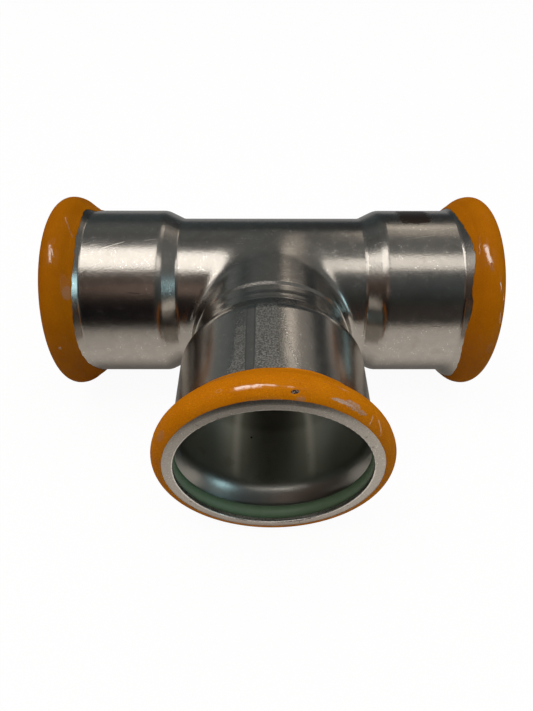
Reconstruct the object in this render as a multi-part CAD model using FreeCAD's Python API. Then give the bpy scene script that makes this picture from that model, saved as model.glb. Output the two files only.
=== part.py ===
"""Equal tee for press-fitted steel pipe.

The tee lies flat: its run goes along X, its branch points along -Y and +Z is up. The origin is where the
two axes cross. Each of its three ends is a socket with a rolled bead at the mouth. A rubber seal ring sits
in the hollow of the bead, and a thin coloured film is wrapped over the bead's outside.
Sizes are in millimetres.
"""
import FreeCAD
import Part
import math
import os

# The pipe and the sheet
PIPE_DIAMETER = 54.0       # outside of the pipe that is pushed in
BORE_CLEARANCE = 0.25      # between pipe and socket, on the radius
WALL = 1.5                 # sheet thickness, the same at every bend

# The straight socket and the shoulder that stops the pipe
INSERTION_DEPTH = 35.5     # from the mouth to where the bore starts to narrow
SHOULDER_STEP = 2.75       # how much smaller the run's radius is behind the socket
SHOULDER_SLOPE = 26.0      # degrees from the axis
CREST_RADIUS = 6.0         # outer bend where the socket ends
NECK_RADIUS = 2.0          # outer bend where the body starts

# The rolled bead at the mouth
CROWN_HEIGHT = 4.6         # bead's highest point above the socket's outside
NOSE_RADIUS = 4.0          # outer bend from the mouth's face up to the crown
CROWN_RADIUS = 6.3         # outer bend from the crown to the flank
FLANK_SLOPE = 38.0         # degrees from the axis
FOOT_RADIUS = 1.5          # outer bend from the flank to the socket
LIP_ROUNDING = 0.3         # broken edge of the lip at the mouth

# The crossing of run and branch
SADDLE_RADIUS = 4.0        # outer fillet at the foot of the branch, between run and branch
CREST_SADDLE_RADIUS = 11.0  # outer fillet on top, where run and branch flow into each other
RUN_NECK = 0.4             # straight stretch from the saddle to the run's shoulders
BRANCH_NECK = 3.9          # the same on the branch
ROOT_RELIEF = 0.1          # how much smaller the radius of the branch's root is than the run's

# The branch's neck is sized in a die, which leaves a fine ring where the die stopped
SIZING_DEPTH = 0.3         # how far the neck lies under the root
SIZING_LENGTH = 5.8        # from the shoulder to the ring
SIZING_SLOPE = 13.0        # degrees from the axis
SIZING_KEEPS_OFF = 0.8     # how far the die stays from the saddle

# The seal ring
SEAL_CORD = 4.3            # thickness of the rubber
SEAL_PIPE_GAP = 0.05       # between the loose ring and the pipe, on the radius
SEAL_SEAT_GAP = 0.05       # between the ring and the hollow of the bead

# The coloured film
FILM = 0.2                 # thickness
FILM_FRONT = 0.65          # how far outside the start of the nose bend its front edge lies
FILM_BACK = 1.2            # bare flank between its back edge and the foot bend

PAST_MOUTH = 2.0           # how far the cutter of the inside stands out of the mouths
ROOT_ALLOWANCE = 0.6       # extra length of the root past the saddle before sizing
SIZING_REACH = 2.0         # how far the sizing cutter stands out of the neck
TOLERANCE = 0.01           # two places closer than this are the same

BORE_RADIUS = PIPE_DIAMETER / 2 + BORE_CLEARANCE
SOCKET_RADIUS = BORE_RADIUS + WALL
CROWN = SOCKET_RADIUS + CROWN_HEIGHT
RUN_RADIUS = SOCKET_RADIUS - SHOULDER_STEP
ROOT_RADIUS = RUN_RADIUS - ROOT_RELIEF
BRANCH_RADIUS = ROOT_RADIUS - SIZING_DEPTH
SLOPE = math.radians(SHOULDER_SLOPE)
FLANK = math.radians(FLANK_SLOPE)

# A socket's half section: t runs inward from the mouth along the axis, r outward from the axis.
# Angles are counted from +t towards +r
OUTWARD = math.pi / 2


def step(centre, angle, distance):
    """The section point at a distance from a centre, in the direction of an angle."""
    return centre[0] + distance * math.cos(angle), centre[1] + distance * math.sin(angle)


def shoulder_length(radius):
    """Length along the axis from the end of the socket to the start of a body of this radius."""
    drop = SOCKET_RADIUS - radius
    return (CREST_RADIUS + NECK_RADIUS) * math.tan(SLOPE / 2) + drop / math.tan(SLOPE)


RUN_HALF = RUN_RADIUS + SADDLE_RADIUS + RUN_NECK + shoulder_length(RUN_RADIUS) + INSERTION_DEPTH
BRANCH_HEIGHT = RUN_RADIUS + SADDLE_RADIUS + BRANCH_NECK + shoulder_length(BRANCH_RADIUS) + INSERTION_DEPTH

# The bead's bends. The flank is the straight slope between the crown bend and the foot bend
NOSE_CENTRE = (NOSE_RADIUS, CROWN - NOSE_RADIUS)
CROWN_CENTRE = (NOSE_RADIUS, CROWN - CROWN_RADIUS)
FLANK_NORMAL = OUTWARD - FLANK
FLANK_TOP = step(CROWN_CENTRE, FLANK_NORMAL, CROWN_RADIUS)
FLANK_END_RISE = FOOT_RADIUS * (1 - math.cos(FLANK))
FLANK_DROP = FLANK_TOP[1] - SOCKET_RADIUS - FLANK_END_RISE
FLANK_END = (FLANK_TOP[0] + FLANK_DROP / math.tan(FLANK), SOCKET_RADIUS + FLANK_END_RISE)
FOOT_CENTRE = step(FLANK_END, FLANK_NORMAL, FOOT_RADIUS)


class Leg:
    """One end of the tee, which turns a section point (t, r) into a point of the model."""

    def __init__(self, axis, length, radius):
        self.axis = FreeCAD.Vector(*axis)
        self.length = length
        self.radius = radius
        self.side = FreeCAD.Vector(0, 0, 1)

    def point(self, section_point):
        t, r = section_point
        return self.axis * (self.length - t) + self.side * r

    def line(self, start, end):
        return Part.LineSegment(self.point(start), self.point(end)).toShape()

    def arc(self, centre, radius, start_angle, end_angle):
        middle = (start_angle + end_angle) / 2
        corners = [self.point(step(centre, angle, radius)) for angle in (start_angle, middle, end_angle)]
        return Part.Arc(*corners).toShape()

    def turned(self, edges):
        """The solid of revolution of a closed section about the leg's axis."""
        face = Part.Face(Part.Wire(Part.__sortEdges__(edges)))
        return face.revolve(FreeCAD.Vector(0, 0, 0), self.axis, 360)


RUN_LEFT = Leg((-1, 0, 0), RUN_HALF, RUN_RADIUS)
RUN_RIGHT = Leg((1, 0, 0), RUN_HALF, RUN_RADIUS)
BRANCH = Leg((0, -1, 0), BRANCH_HEIGHT, BRANCH_RADIUS)


def bead_section(leg, skin, front_angle=math.pi, back=0.0):
    """The bead's section from the nose to the flank, and its end, at a height over the outer surface.

    A skin of -WALL gives the inner surface. The bends keep their centres, so the sheet keeps its thickness.
    """
    nose = leg.arc(NOSE_CENTRE, NOSE_RADIUS + skin, front_angle, OUTWARD)
    crown = leg.arc(CROWN_CENTRE, CROWN_RADIUS + skin, OUTWARD, FLANK_NORMAL)
    top = step(CROWN_CENTRE, FLANK_NORMAL, CROWN_RADIUS + skin)
    end = step(FOOT_CENTRE, FLANK_NORMAL + math.pi, FOOT_RADIUS - skin)
    end = step(end, OUTWARD + FLANK_NORMAL, back)
    return [nose, crown, leg.line(top, end)], end


def socket_section(leg, skin):
    """The section from the mouth's face over bead, socket and shoulder to the middle of the tee."""
    bead, _ = bead_section(leg, skin)
    foot = leg.arc(FOOT_CENTRE, FOOT_RADIUS - skin, FLANK_NORMAL + math.pi, OUTWARD + math.pi)
    socket_r = SOCKET_RADIUS + skin
    socket = leg.line((FOOT_CENTRE[0], socket_r), (INSERTION_DEPTH, socket_r))

    slope_normal = OUTWARD - SLOPE
    crest_centre = (INSERTION_DEPTH, SOCKET_RADIUS - CREST_RADIUS)
    neck_centre = (INSERTION_DEPTH + shoulder_length(leg.radius), leg.radius + NECK_RADIUS)
    crest = leg.arc(crest_centre, CREST_RADIUS + skin, OUTWARD, slope_normal)
    slope_top = step(crest_centre, slope_normal, CREST_RADIUS + skin)
    slope_end = step(neck_centre, slope_normal + math.pi, NECK_RADIUS - skin)
    shoulder = leg.line(slope_top, slope_end)
    neck = leg.arc(neck_centre, NECK_RADIUS - skin, slope_normal + math.pi, OUTWARD + math.pi)
    body_r = leg.radius + skin
    body = leg.line((neck_centre[0], body_r), (leg.length, body_r))
    return bead + [foot, socket, crest, shoulder, neck, body]


def outer_edges(leg):
    """Open section of the outside, from the axis at the mouth to the middle."""
    mouth_face = leg.line((0, 0), (0, NOSE_CENTRE[1]))
    return [mouth_face] + socket_section(leg, 0)


def inner_edges(leg):
    """Open section of the inside: the lip's edge and inner face, then one wall off the outside."""
    cutter_end = leg.line((-PAST_MOUTH, 0), (-PAST_MOUTH, BORE_RADIUS))
    lip_edge = leg.line((-PAST_MOUTH, BORE_RADIUS), (WALL, BORE_RADIUS))
    lip_face = leg.line((WALL, BORE_RADIUS), (WALL, NOSE_CENTRE[1]))
    return [cutter_end, lip_edge, lip_face] + socket_section(leg, -WALL)


def crossing(edges_of, start, skin):
    """The run and the branch as two solids, inside or outside."""
    run_edges = []
    for leg in (RUN_LEFT, RUN_RIGHT):
        run_edges += edges_of(leg)
        run_edges.append(leg.line((start, 0), (leg.length, 0)))
    run = RUN_LEFT.turned(run_edges)

    middle = (BRANCH.length, 0)
    on_axis = BRANCH.line((start, 0), middle)
    across = BRANCH.line(middle, (BRANCH.length, BRANCH.radius + skin))
    branch = BRANCH.turned(edges_of(BRANCH) + [on_axis, across])

    return run, branch


def meeting_edge(shape, run_radius, branch_radius):
    """The edge that lies on the run's cylinder and on the branch's."""
    for edge in shape.Edges:
        middle = edge.valueAt((edge.FirstParameter + edge.LastParameter) / 2)
        off_run = math.hypot(middle.y, middle.z) - run_radius
        off_branch = math.hypot(middle.x, middle.z) - branch_radius
        if abs(off_run) < TOLERANCE and abs(off_branch) < TOLERANCE:
            return edge


def centred_box(half_x, front, back, low, high):
    """A box from -half_x to half_x, from y = front to y = back, and from z = low to z = high."""
    corner = FreeCAD.Vector(-half_x, front, low)
    return Part.makeBox(2 * half_x, back - front, high - low, corner)


def rounded(joined, run_radius, branch_radius, skin):
    """Rounds the meeting line of run and branch, with a radius that grows from the foot to the crest.

    The middle of the tee is cut out between the necks. One quarter of it holds one piece of that line,
    from the crest to the foot. It is rounded and mirrored into the other quarters, and all is joined.
    """
    reach = BRANCH.length + RUN_HALF
    half_x = RUN_RADIUS + SADDLE_RADIUS + RUN_NECK / 2
    front = -(RUN_RADIUS + SADDLE_RADIUS + BRANCH_NECK / 2)
    core = centred_box(half_x, front, reach, -reach, reach)
    corner = FreeCAD.Vector(-half_x, front, 0)
    quarter = joined.common(Part.makeBox(half_x, reach - front, reach, corner))

    edge = meeting_edge(quarter, run_radius, branch_radius)
    radii = [SADDLE_RADIUS - skin, CREST_SADDLE_RADIUS - skin]
    first, last = [vertex.Point for vertex in edge.Vertexes]
    if abs(first.x) < abs(last.x):
        radii.reverse()
    quarter = quarter.makeFillet(radii[0], radii[1], [edge])

    middle = FreeCAD.Vector(0, 0, 0)
    across = quarter.mirror(middle, FreeCAD.Vector(1, 0, 0))
    lower = [shape.mirror(middle, FreeCAD.Vector(0, 0, 1)) for shape in (quarter, across)]
    return joined.cut(core).fuse([quarter, across] + lower).removeSplitter()


def polygon_edges(leg, corners):
    """Straight edges round a closed section."""
    return [leg.line(start, end) for start, end in zip(corners, corners[1:] + corners[:1])]


def branch_root():
    """The branch's root before sizing, a little thicker than its neck and longer than the saddle."""
    end = BRANCH.length - RUN_RADIUS - SADDLE_RADIUS - ROOT_ALLOWANCE
    corners = [(end, 0), (end, ROOT_RADIUS), (BRANCH.length, ROOT_RADIUS), (BRANCH.length, 0)]
    return BRANCH.turned(polygon_edges(BRANCH, corners))


def sizing_cutter():
    """What the die takes off the root: all that stands over the neck, up to the ring."""
    neck_start = INSERTION_DEPTH + shoulder_length(BRANCH_RADIUS)
    ring = neck_start + SIZING_LENGTH
    top = BRANCH_RADIUS + SIZING_REACH
    slope_run = SIZING_REACH / math.tan(math.radians(SIZING_SLOPE))
    corners = [(neck_start, BRANCH_RADIUS), (ring, BRANCH_RADIUS), (ring + slope_run, top), (neck_start, top)]
    cutter = BRANCH.turned(polygon_edges(BRANCH, corners))

    # the die keeps off the saddle, which stands out of the run by its own radius
    kept_radius = RUN_RADIUS + SADDLE_RADIUS + SIZING_KEEPS_OFF
    start = FreeCAD.Vector(-BRANCH.length, 0, 0)
    saddle = Part.makeCylinder(kept_radius, 2 * BRANCH.length, start, FreeCAD.Vector(1, 0, 0))
    return cutter.cut(saddle)


def tee_body():
    """The one-piece formed steel tee."""
    run, branch = crossing(outer_edges, 0, 0)
    outside = run.fuse([branch, branch_root()]).removeSplitter()
    outside = rounded(outside, RUN_RADIUS, ROOT_RADIUS, 0).cut(sizing_cutter())

    run, branch = crossing(inner_edges, -PAST_MOUTH, -WALL)
    inside = rounded(run.fuse(branch), RUN_RADIUS - WALL, BRANCH_RADIUS - WALL, -WALL)
    body = outside.cut(inside)
    return body.makeFillet(LIP_ROUNDING, lip_edges(body))


def lip_edges(body):
    """The circles at both edges of each lip, where the sheet was cut."""
    found = []
    for edge in body.Edges:
        circle = edge.Curve
        if not isinstance(circle, Part.Circle) or abs(circle.Radius - BORE_RADIUS) > TOLERANCE:
            continue
        for leg in (RUN_LEFT, RUN_RIGHT, BRANCH):
            t = leg.length - circle.Center.dot(leg.axis)
            if t < WALL + TOLERANCE:
                found.append(edge)
    return found


def seal_ring(leg):
    """The loose rubber ring, pushed back against the hollow of the bead."""
    cord_r = SEAL_CORD / 2
    ring_r = PIPE_DIAMETER / 2 + SEAL_PIPE_GAP + cord_r
    reach = CROWN_RADIUS - WALL - cord_r - SEAL_SEAT_GAP
    t = CROWN_CENTRE[0] + math.sqrt(reach ** 2 - (ring_r - CROWN_CENTRE[1]) ** 2)
    centre = leg.axis * (leg.length - t)
    return Part.makeTorus(ring_r, cord_r, centre, leg.axis)


def film_ring(leg):
    """The coloured film over the bead, from just outside the mouth's face to the flank."""
    front = math.pi - math.asin(FILM_FRONT / NOSE_RADIUS)
    under, under_end = bead_section(leg, 0, front, FILM_BACK)
    over, over_end = bead_section(leg, FILM, front, FILM_BACK)
    front_edge = leg.line(step(NOSE_CENTRE, front, NOSE_RADIUS), step(NOSE_CENTRE, front, NOSE_RADIUS + FILM))
    back_edge = leg.line(under_end, over_end)
    return leg.turned(under + over + [front_edge, back_edge])


def main():
    parts = {"tee_body": tee_body()}
    for side, leg in (("left", RUN_LEFT), ("right", RUN_RIGHT), ("branch", BRANCH)):
        parts["seal_ring_" + side] = seal_ring(leg)
        parts["film_ring_" + side] = film_ring(leg)

    os.makedirs("parts", exist_ok=True)
    for name, shape in parts.items():
        shape.exportStep("parts/" + name + ".step")
        solid = "solid" if shape.isValid() and len(shape.Solids) == 1 else "NOT ONE VALID SOLID"
        print(name, solid, "volume", round(shape.Volume, 1))
    print("run length", round(2 * RUN_HALF, 2), "branch height", round(BRANCH_HEIGHT, 2))


main()
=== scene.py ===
# %% [markdown]
# # A pressed steel tee with film over its beads
#
# The object is a pipe tee of formed sheet steel. Each of its three ends is a socket for a pipe:
# a rolled bead holds a green rubber ring, and an orange film is wrapped over the bead's outside.
# The solids come from the packed model, already in place and in metres. This file gives them
# their finish, puts a detailed film over each bead, and sets up the floor, the light and the
# camera. Lengths in the cells are in millimetres and are scaled where a mesh is made.

# %% Load the packed solids as the fixed frame
import math
from types import SimpleNamespace

import bpy
import numpy as np
from mathutils import Matrix, Vector


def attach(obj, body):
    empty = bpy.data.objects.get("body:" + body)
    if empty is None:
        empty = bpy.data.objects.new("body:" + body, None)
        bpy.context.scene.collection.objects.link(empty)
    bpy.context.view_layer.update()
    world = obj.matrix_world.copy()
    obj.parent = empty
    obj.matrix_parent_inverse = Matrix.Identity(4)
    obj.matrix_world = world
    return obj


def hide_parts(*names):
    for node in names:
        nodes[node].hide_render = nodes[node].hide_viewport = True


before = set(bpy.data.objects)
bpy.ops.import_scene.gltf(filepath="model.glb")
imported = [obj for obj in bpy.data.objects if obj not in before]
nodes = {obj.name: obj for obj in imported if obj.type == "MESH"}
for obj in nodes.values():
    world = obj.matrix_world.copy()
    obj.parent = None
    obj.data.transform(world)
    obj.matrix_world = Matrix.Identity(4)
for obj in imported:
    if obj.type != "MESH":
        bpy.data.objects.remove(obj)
bpy.context.view_layer.update()
MM = 0.001
print("solids:", ", ".join(sorted(nodes)))

# %% [markdown]
# ## The tee's own coordinates
#
# A place on a socket is easiest to say as three numbers: t, how far it is from the mouth; r, how
# far from the socket's axis; and an angle round the axis. Each of the three legs turns such a
# place into x, y and z. Angle 0 is on top of the tee. Positive angles turn towards the camera on
# the run, and towards the right on the branch.

# %% The three legs
SOCKET_RADIUS = 28.75
BODY_RADIUS = 26.0
INSERTION_DEPTH = 35.5
DEGREES = 180 / math.pi
UP = np.array([0.0, 0.0, 1.0])


class Leg:
    """One end of the tee: its name, the direction of its mouth, its length and its side."""

    def __init__(self, name, axis, length, side):
        self.name = name
        self.axis = np.array(axis, float)
        self.length = length
        self.side = np.array(side, float)

    def place(self, t, r, degrees):
        """Points of the frame, in metres, for arrays of t, r and angle."""
        t, r, angle = np.broadcast_arrays(t, r, np.radians(degrees))
        along = (self.length - t)[..., None] * self.axis
        across = (r * np.sin(angle))[..., None] * self.side
        upward = (r * np.cos(angle))[..., None] * UP
        return (along + across + upward) * MM

    def patterns(self, place):
        """The same three numbers as shader patterns: t and r in millimetres, the angle in degrees."""
        along = place.vector("DOT_PRODUCT", tuple(self.axis), output=1) / MM
        across = place.vector("DOT_PRODUCT", tuple(self.side), output=1) / MM
        upward = place.parts()[2] / MM
        r = (across * across + upward * upward) ** 0.5
        return self.length - along, r, across.math("ARCTAN2", upward) * DEGREES


LEFT = Leg("left", (-1, 0, 0), 73.385, (0, -1, 0))
RIGHT = Leg("right", (1, 0, 0), 73.385, (0, -1, 0))
BRANCH = Leg("branch", (0, -1, 0), 77.705, (1, 0, 0))
LEGS = (LEFT, RIGHT, BRANCH)
print("legs:", [(leg.name, leg.length) for leg in LEGS])

# %% [markdown]
# ## The camera
#
# The camera stands close, in front of the branch and above it, and looks down at 46 degrees. A
# turn about the upright axis, then one about the picture's level axis, then a slight roll give
# its directions. Blender's camera looks along its own -Z, so a quarter turn goes last.

# %% Camera
CAMERA_PLACE = (-2.304, -158.945, 129.170)
CAMERA_YAW, CAMERA_PITCH, CAMERA_ROLL = -0.2476, -45.737, -0.1840
FOCAL_PIXELS, LONG_SIDE_PIXELS, SENSOR = 551.71, 711, 36.0


def turn(degrees, axis):
    return Matrix.Rotation(math.radians(degrees), 4, axis)


camera = bpy.data.objects.new("camera", bpy.data.cameras.new("camera"))
bpy.context.collection.objects.link(camera)
camera.data.sensor_width = SENSOR
camera.data.lens = FOCAL_PIXELS * SENSOR / LONG_SIDE_PIXELS
camera.data.clip_start = 0.01
camera.matrix_world = (
    Matrix.Translation(Vector(CAMERA_PLACE) * MM)
    @ turn(CAMERA_YAW, "Z")
    @ turn(CAMERA_PITCH, "X")
    @ turn(CAMERA_ROLL, "Y")
    @ turn(90, "X")
)
bpy.context.scene.camera = camera
bpy.context.scene.view_settings.view_transform = "Standard"
print("camera lens in mm:", round(camera.data.lens, 2))

# %% [markdown]
# ## Shader maths that reads like Python
#
# A finish is a formula over the surface: a noise here, a smooth edge there. In Blender each step
# of it is a node. The class below wraps one socket. Its operators add Math nodes, so that
# `1 - mask * 0.5` makes the nodes it describes, and `node` adds any other kind.

# %% A socket with operators
class Shade:
    """One output socket in a node tree."""

    def __init__(self, tree, socket=None):
        self.tree = tree
        self.socket = socket

    def node(self, kind, settings=None, feeds=None, output=0):
        """Adds a node: settings first, then what feeds its sockets, by name or by number."""
        made = self.tree.nodes.new(kind)
        for name, value in (settings or {}).items():
            if name == "stops":
                set_stops(made.color_ramp, value)
            else:
                setattr(made, name, value)
        for name, value in (feeds or {}).items():
            self.feed(made.inputs[name], value)
        return Shade(self.tree, made.outputs[output])

    def feed(self, socket, value):
        if isinstance(value, Shade):
            self.tree.links.new(value.socket, socket)
        elif socket.type == "RGBA" and len(value) == 3:
            socket.default_value = (*value, 1)
        else:
            socket.default_value = value

    def math(self, operation, *values):
        feeds = dict(enumerate((self, *values)))
        return self.node("ShaderNodeMath", {"operation": operation}, feeds)

    def __add__(self, other):
        return self.math("ADD", other)

    def __sub__(self, other):
        return self.math("SUBTRACT", other)

    def __rsub__(self, other):
        return self.math("MULTIPLY_ADD", -1.0, other)

    def __mul__(self, other):
        return self.math("MULTIPLY", other)

    def __truediv__(self, other):
        return self.math("DIVIDE", other)

    def __neg__(self):
        return self.math("MULTIPLY", -1.0)

    def __abs__(self):
        return self.math("ABSOLUTE")

    def __pow__(self, other):
        return self.math("POWER", other)

    __radd__ = __add__
    __rmul__ = __mul__

    def smooth(self, low, high, to_low=0.0, to_high=1.0):
        """A soft step: to_low below low, to_high above high."""
        feeds = {0: self, 1: low, 2: high, 3: to_low, 4: to_high}
        return self.node("ShaderNodeMapRange", {"interpolation_type": "SMOOTHSTEP"}, feeds)

    def bell(self, centre, width):
        """1 at the centre, falling softly to 0 at a width to each side."""
        return abs(self - centre).smooth(0.0, width, 1.0, 0.0)

    def mix(self, first, second):
        """The first colour where this is 0, the second where it is 1."""
        feeds = {0: self, 6: first, 7: second}
        return self.node("ShaderNodeMix", {"data_type": "RGBA"}, feeds, output=2)

    def parts(self):
        """The three parts of a vector."""
        split = self.tree.nodes.new("ShaderNodeSeparateXYZ")
        self.tree.links.new(self.socket, split.inputs[0])
        return [Shade(self.tree, out) for out in split.outputs]

    def vector(self, operation, *values, output=0):
        feeds = dict(enumerate((self, *values)))
        return self.node("ShaderNodeVectorMath", {"operation": operation}, feeds, output)

    def noise(self, size, detail=2.0, roughness=0.5, seed=0.0):
        """Soft noise with patches about this many millimetres wide."""
        moved = self.vector("ADD", (seed, seed * 1.7, -seed)) if seed else self
        feeds = {"Vector": moved, "Scale": 1 / (size * MM), "Detail": detail, "Roughness": roughness}
        return self.node("ShaderNodeTexNoise", {}, feeds)


def set_stops(ramp, stops):
    """Fills a colour ramp with (place, colour) stops."""
    while len(ramp.elements) < len(stops):
        ramp.elements.new(1.0)
    for element, (place, colour) in zip(ramp.elements, stops):
        element.position = place
        element.color = (*colour, 1)


print("shader helper ready:", [name for name in vars(Shade) if not name.startswith("_")])

# %% [markdown]
# ## Starting a material
#
# Every finish starts the same way: a Principled shader with its even values set on its own
# sockets, and the surface's place as the input of all patterns. The objects' origins lie at the
# frame's origin, so object coordinates are the frame's own.

# %% New materials
def new_material(name, **even):
    """A material with one Principled shader. Returns it with the shader and the place socket."""
    material = bpy.data.materials.new(name)
    material.use_nodes = True
    tree = material.node_tree
    shader = tree.nodes["Principled BSDF"]
    for key, value in even.items():
        socket = shader.inputs[key.replace("_", " ").title().replace("Ior", "IOR")]
        socket.default_value = (*value, 1) if isinstance(value, tuple) else value
    place = Shade(tree).node("ShaderNodeTexCoord", output=3)
    return material, shader, place


def finish_with(shader, place, **patterns):
    """Links patterns to the shader's sockets."""
    for key, value in patterns.items():
        place.feed(shader.inputs[key.replace("_", " ")], value)


def layered(tone, layers):
    """A tone with layers painted over it. Each says how much it covers, and its colour."""
    for cover, colour in layers:
        tone = cover.mix(tone, colour)
    return tone


def bump(place, height, distance, normal=None):
    """A normal from a height pattern. The distance is in millimetres for a height of 1."""
    feeds = {"Distance": distance * MM, "Height": height}
    if normal:
        feeds["Normal"] = normal
    return place.node("ShaderNodeBump", {}, feeds)


print("materials:", len(bpy.data.materials))

# %% [markdown]
# ## The floor
#
# The tee lies on its three beads on a plain white floor. To the camera the floor is white, with a
# little of its real shading left so that the tee's shadow still shows. Steel mirrors the floor
# too, so reflected rays see it lit by its place: dark just under the tee, bright beside it,
# dimmer further forward until the sheet ends, and dim behind. Steel needs something dark beside
# the white to look like steel.

# %% Floor
FLOOR_LEVEL = -33.56
FLOOR_RADIUS = 3500.0
WHITE_TO_CAMERA, WHITE_TO_STEEL = 0.9, 0.72
WHITE_STRENGTH = 1.06
SHEET_SLANT = 0.5
SHEET_LIGHT = (
    # distance forward of the tee in mm, brightness in a mirror
    (0.0, 0.99), (60.0, 0.92), (100.0, 0.80), (140.0, 0.66), (190.0, 0.42), (260.0, 0.13), (350.0, 0.015))
SHEET_TINT = (1.0, 0.92, 0.83)
# painted shade in the mirrored floor: dim behind the tee, dark just under it
SHEET_BEHIND = (0.30, 0.30, 0.30)
SHADE_UNDER_TEE = (0.02, 0.018, 0.016)
NEAR, FAR = 90.0, 220.0


def make_floor():
    angles = np.linspace(0, 2 * np.pi, 96, endpoint=False)
    rim = [Vector((math.cos(a) * FLOOR_RADIUS, math.sin(a) * FLOOR_RADIUS, FLOOR_LEVEL)) * MM for a in angles]
    mesh = bpy.data.meshes.new("floor")
    mesh.from_pydata(rim, [], [list(range(len(rim)))])
    floor = bpy.data.objects.new("floor", mesh)
    bpy.context.collection.objects.link(floor)
    return floor


def mirrored_floor(x, y):
    """The floor's painted light and shade as steel mirrors it, by place: painted shade under the tee and
    behind it.
    """
    reach = SHEET_LIGHT[-1][0]
    forward = (-y - x * SHEET_SLANT) / reach
    stops = [(at / reach, tuple(light * part for part in SHEET_TINT)) for at, light in SHEET_LIGHT]
    sheet = forward.node("ShaderNodeValToRGB", {"stops": stops}, {0: forward})
    sheet = y.smooth(20.0, 120.0).mix(sheet, SHEET_BEHIND)
    # painted shadow of the tee in the mirrored floor
    shade_under = abs(y).smooth(18.0, 42.0, 0.8, 0.0) * abs(x).smooth(75.0, 90.0, 1.0, 0.0)
    return shade_under.mix(sheet, SHADE_UNDER_TEE)


def floor_material():
    material, shader, place = new_material("white_sheet", base_color=(0.6, 0.6, 0.6), roughness=0.9)
    x, y, _ = (part / MM for part in place.parts())
    path = place.node("ShaderNodeLightPath").socket.node
    kinds = "Is Camera Ray", "Is Glossy Ray", "Is Transmission Ray"
    camera_ray, glossy_ray, passing_ray = (Shade(place.tree, path.outputs[kind]) for kind in kinds)
    mirrored = glossy_ray + passing_ray
    far = 1 - (x * x + y * y).smooth(NEAR ** 2, FAR ** 2, 1.0, 0.0)
    share = camera_ray * WHITE_TO_CAMERA + mirrored * WHITE_TO_STEEL + mirrored * far * (1 - WHITE_TO_STEEL)
    white = camera_ray.mix(mirrored_floor(x, y), (1.0, 1.0, 1.0))
    glow = place.node("ShaderNodeEmission", {}, {"Color": white, "Strength": WHITE_STRENGTH})
    own = Shade(place.tree, shader.outputs[0])
    mixed = place.node("ShaderNodeMixShader", {}, {0: share, 1: own, 2: glow})
    place.feed(place.tree.nodes["Material Output"].inputs[0], mixed)
    return material


floor = make_floor()
floor.data.materials.append(floor_material())
print("floor radius in m:", FLOOR_RADIUS * MM)

# %% [markdown]
# ## The room
#
# Polished steel shows the room more than itself. The room here is dim. Its light is given over an
# angle that starts at the horizon in front, passes straight up at 90 and ends at the horizon
# behind, once for the left and once for the right. Soft patches of light stand round it, each
# with its direction, its width and its colour: pale ones low and high behind the tee, a strong
# cool window in front to the right, and smaller ones in front to the left. The camera itself sees
# plain white where the floor ends.

# %% World
ROOM_LEFT = (
    # angle, colour
    (0, (0.008, 0.007, 0.009)), (18, (0.010, 0.008, 0.010)), (30, (0.045, 0.034, 0.028)),
    (45, (0.105, 0.073, 0.058)), (62, (0.13, 0.10, 0.085)), (108, (0.20, 0.20, 0.20)),
    (124, (0.105, 0.11, 0.11)), (145, (0.065, 0.078, 0.080)), (165, (0.075, 0.095, 0.10)),
    (180, (0.08, 0.095, 0.10)))
ROOM_RIGHT = (
    (0, (0.07, 0.060, 0.054)), (14, (0.06, 0.050, 0.046)), (26, (0.040, 0.046, 0.042)),
    (45, (0.09, 0.102, 0.106)), (62, (0.15, 0.16, 0.16)), (108, (0.25, 0.25, 0.245)),
    (134, (0.20, 0.20, 0.19)), (146, (0.075, 0.08, 0.08)), (156, (0.045, 0.05, 0.05)),
    (180, (0.06, 0.07, 0.08)))
PATCHES = (
    # direction, inner and outer half-angle in degrees, colour, strength
    ((-0.72, 0.66, 0.20), 8, 26, (0.93, 1.0, 1.0), 0.22),
    ((-0.70, 0.71, 0.06), 3, 9, (1.0, 0.92, 0.82), 0.50),
    ((-0.25, 0.70, 0.66), 5, 17, (0.95, 1.0, 0.99), 0.19),
    ((0.0, 0.79, 0.61), 2, 9, (0.97, 1.0, 0.97), 0.18),
    ((0.43, 0.72, 0.55), 3, 12, (1.0, 0.93, 0.85), 0.40),
    ((0.255, 0.725, 0.64), 2, 7.5, (1.0, 0.90, 0.79), 1.45),
    ((0.28, 0.58, 0.765), 2, 8, (1.0, 0.90, 0.79), 0.80),
    ((0.68, 0.71, 0.14), 2, 7, (1.0, 0.92, 0.84), 0.50),
    ((0.80, -0.36, 0.44), 5, 13, (0.58, 0.90, 1.0), 2.9),
    ((-0.77, 0.0, 0.62), 4, 12, (1.0, 0.95, 0.90), 1.1),
    ((-0.15, -0.74, 0.66), 4, 12, (1.0, 0.74, 0.62), 0.30),
    ((0.66, -0.73, 0.20), 2, 9, (1.0, 0.85, 0.72), 0.70),
    ((-0.69, -0.72, 0.05), 3, 9, (1.0, 0.93, 0.85), 1.0),
)


def room_light(turn_up, stops):
    """The room's colour by the angle over the tee, as a share of half a turn."""
    stops = [(angle / 180, colour) for angle, colour in stops]
    return turn_up.node("ShaderNodeValToRGB", {"stops": stops}, {0: turn_up})


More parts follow.
